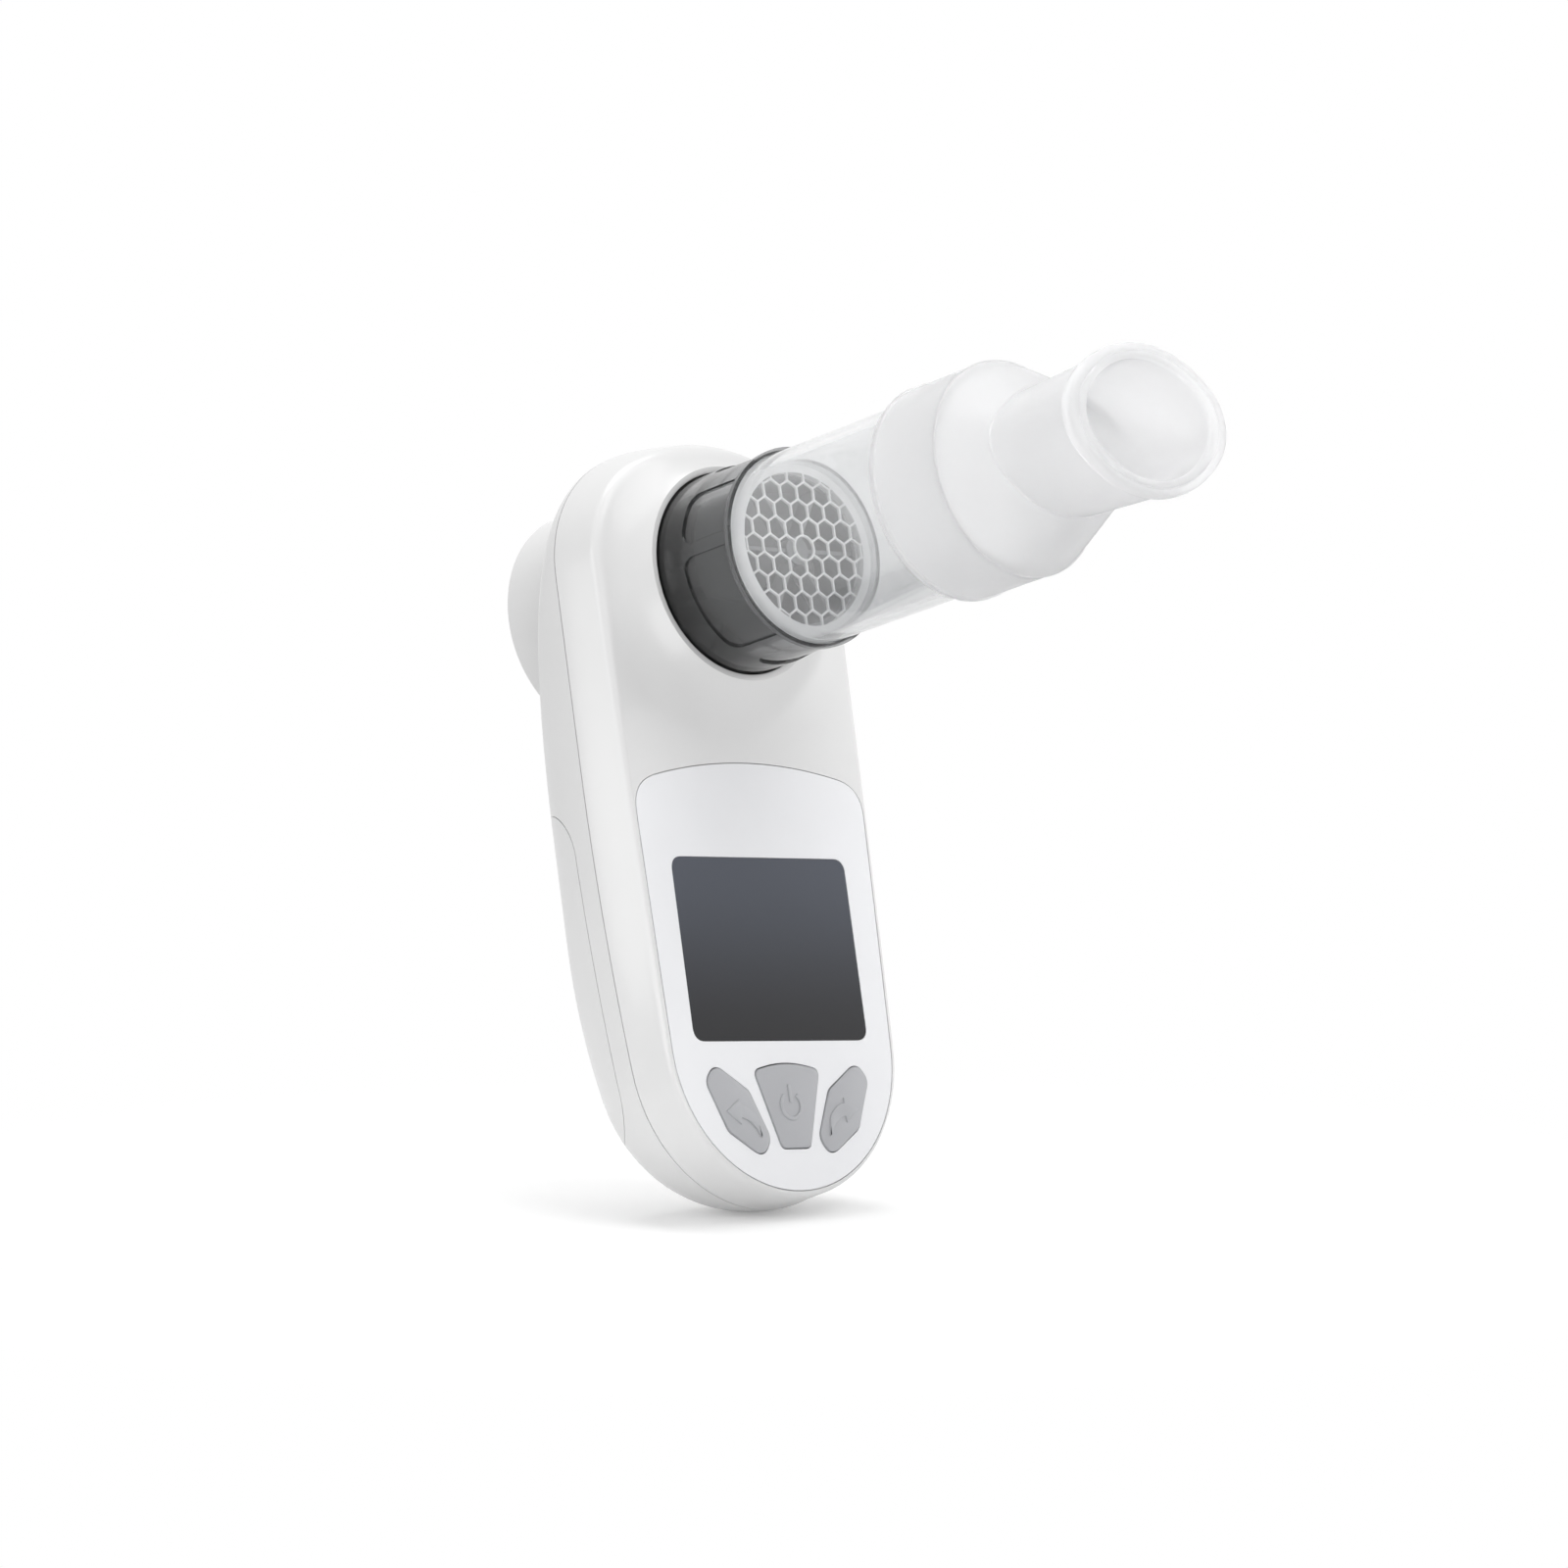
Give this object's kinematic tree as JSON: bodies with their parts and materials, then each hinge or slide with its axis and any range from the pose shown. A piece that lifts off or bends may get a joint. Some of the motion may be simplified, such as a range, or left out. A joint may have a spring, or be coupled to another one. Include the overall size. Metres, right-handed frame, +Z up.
{
  "type": "peak flow meter",
  "caption": "Handheld digital peak flow meter: a standing body with colour display and keys, and a plug-in turbine tube across its top with a mouthpiece.",
  "frame": {"origin": "centre of the rear rim of the exhaust port, on the flow axis", "axes": "+Y along the flow axis towards the exhaust at the rear, so the display and the mouthpiece face -Y; +Z up the body; +X to the right seen from the display"},
  "size_m": [0.0526, 0.1248, 0.12],
  "materials": {
    "case_white": "satin",
    "panel_white": "satin",
    "screen_tint": "gloss",
    "display_glass": "gloss",
    "board_green": "satin",
    "black_package": "matt",
    "socket_grey": "matt",
    "cell_steel": "gloss",
    "contact_steel": "satin",
    "smoked_clear": "gloss, smoked and see-through",
    "tube_clear": "gloss, clear",
    "mouthpiece_white": "satin, frosted",
    "insert_grey": "satin",
    "vane_black": "matt",
    "bearing_bronze": "satin",
    "seal_rubber": "matt",
    "key_grey": "satin"
  },
  "bodies": {
    "body_case": {"front_shell": "case_white", "rear_shell": "case_white", "display_panel": "panel_white", "screen_window": "screen_tint", "lcd_module": "display_glass", "main_board": "board_green", "processor_chip": "black_package", "buzzer": "black_package", "tact_switches": "black_package", "turbine_socket": "socket_grey", "sensor_board": "board_green", "light_emitter": "black_package", "light_receiver": "black_package", "battery_left": "cell_steel", "battery_right": "cell_steel", "upper_contacts": "contact_steel", "lower_contacts": "contact_steel", "shell_screws": "contact_steel"},
    "battery_cover": {"battery_door": "case_white"},
    "back_key": {"back_button": "key_grey"},
    "power_key": {"power_button": "key_grey"},
    "forward_key": {"forward_button": "key_grey"},
    "turbine": {"turbine_housing": "smoked_clear", "seal_ring": "seal_rubber", "flow_screen": "insert_grey", "front_swirl_guide": "insert_grey", "rear_swirl_guide": "insert_grey", "front_bearing": "bearing_bronze", "rear_bearing": "bearing_bronze", "clear_tube": "tube_clear"},
    "rotor": {"rotor_vane": "vane_black", "rotor_shaft": "contact_steel"},
    "mouthpiece_body": {"mouthpiece": "mouthpiece_white"}
  },
  "joints": [
    {"name": "battery_cover_slide", "type": "slide", "parent": "body_case", "child": "battery_cover", "axis": [0, 1, 0], "range_m": [0, 0.012]},
    {"name": "turbine_slide", "type": "slide", "parent": "body_case", "child": "turbine", "axis": [0, -1, 0], "range_m": [0, 0.026]},
    {"name": "rotor_spin", "type": "hinge", "parent": "turbine", "child": "rotor", "pos_m": [0, -0.028, 0], "axis": [0, 1, 0], "continuous": true},
    {"name": "mouthpiece_slide", "type": "slide", "parent": "turbine", "child": "mouthpiece_body", "axis": [0, -1, 0], "range_m": [0, 0.016]},
    {"name": "back_press", "type": "slide", "parent": "body_case", "child": "back_key", "axis": [0, 1, 0], "range_m": [0, 0.0004], "stiffness_N_per_m": 1500},
    {"name": "power_press", "type": "slide", "parent": "body_case", "child": "power_key", "axis": [0, 1, 0], "range_m": [0, 0.0004], "stiffness_N_per_m": 1500},
    {"name": "forward_press", "type": "slide", "parent": "body_case", "child": "forward_key", "axis": [0, 1, 0], "range_m": [0, 0.0004], "stiffness_N_per_m": 1500}
  ]
}
